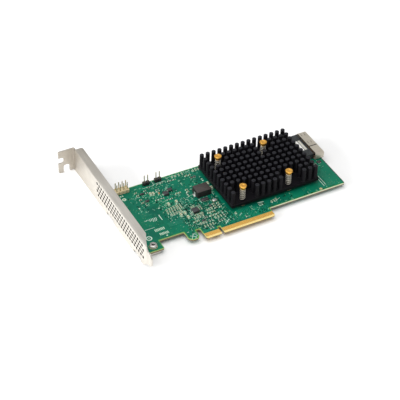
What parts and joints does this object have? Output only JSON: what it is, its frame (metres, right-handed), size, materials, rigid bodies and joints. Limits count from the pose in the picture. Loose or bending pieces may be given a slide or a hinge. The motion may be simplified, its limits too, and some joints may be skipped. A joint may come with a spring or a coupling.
{
  "type": "storage controller card",
  "caption": "Low-profile plug-in storage controller board with gold edge contacts, a black pin-fin heat sink on spring push-pins, a rear cable socket and a full-height vented bracket.",
  "frame": {"origin": "middle of the edge connector's key notch along the card, at the bottom edge of the contacts, on the board's component side", "axes": "+X along the card away from the bracket; +Y from the edge contacts to the opposite long edge; +Z out of the component side, towards the heat sink's pins"},
  "size_m": [0.17, 0.12, 0.0201],
  "materials": {
    "laminate": "satin solder mask over glass fibre laminate",
    "contact_gold": "hard gold plating",
    "bracket_steel": "satin nickel-plated sheet",
    "screw_steel": "plated",
    "black_anodised": "matt black anodised",
    "push_pin_brass": "plain turned",
    "spring_steel": "plated wire",
    "substrate_green": "satin",
    "lid_metal": "satin",
    "pad_grey": "soft",
    "shell_metal": "satin plated",
    "housing_grey": "moulded",
    "plate_metal": "satin plated",
    "header_cream": "moulded",
    "header_black": "moulded",
    "pin_gold": "gold plated",
    "inductor_grey": "pressed powder",
    "terminal_tin": "tinned",
    "chip_black": "moulded",
    "led_amber": "clear moulding",
    "capacitor_tan": "fired ceramic",
    "resistor_black": "glazed"
  },
  "bodies": {
    "root": {"circuit_board": "laminate", "edge_contacts_front": "contact_gold", "edge_contacts_back": "contact_gold", "bracket": "bracket_steel", "bracket_screws": "screw_steel", "heat_sink": "black_anodised", "push_pins": "push_pin_brass", "push_pin_springs": "spring_steel", "controller_substrate": "substrate_green", "controller_lid": "lid_metal", "thermal_pad": "pad_grey", "socket_shell": "shell_metal", "socket_housing": "housing_grey", "socket_contacts": "contact_gold", "socket_rear_plate": "plate_metal", "service_header": "header_cream", "service_header_pins": "pin_gold", "left_jumper_header": "header_black", "left_jumper_pins": "pin_gold", "right_jumper_header": "header_black", "right_jumper_pins": "pin_gold", "power_inductor": "inductor_grey", "power_inductor_terminals": "terminal_tin", "buck_inductor": "inductor_grey", "supply_inductors": "inductor_grey", "small_transistors": "chip_black", "flash_chip": "chip_black", "clock_crystal": "lid_metal", "status_led": "led_amber", "line_driver": "chip_black", "block_capacitors": "capacitor_tan", "chip_capacitors": "capacitor_tan", "chip_resistors": "resistor_black"}
  },
  "joints": []
}
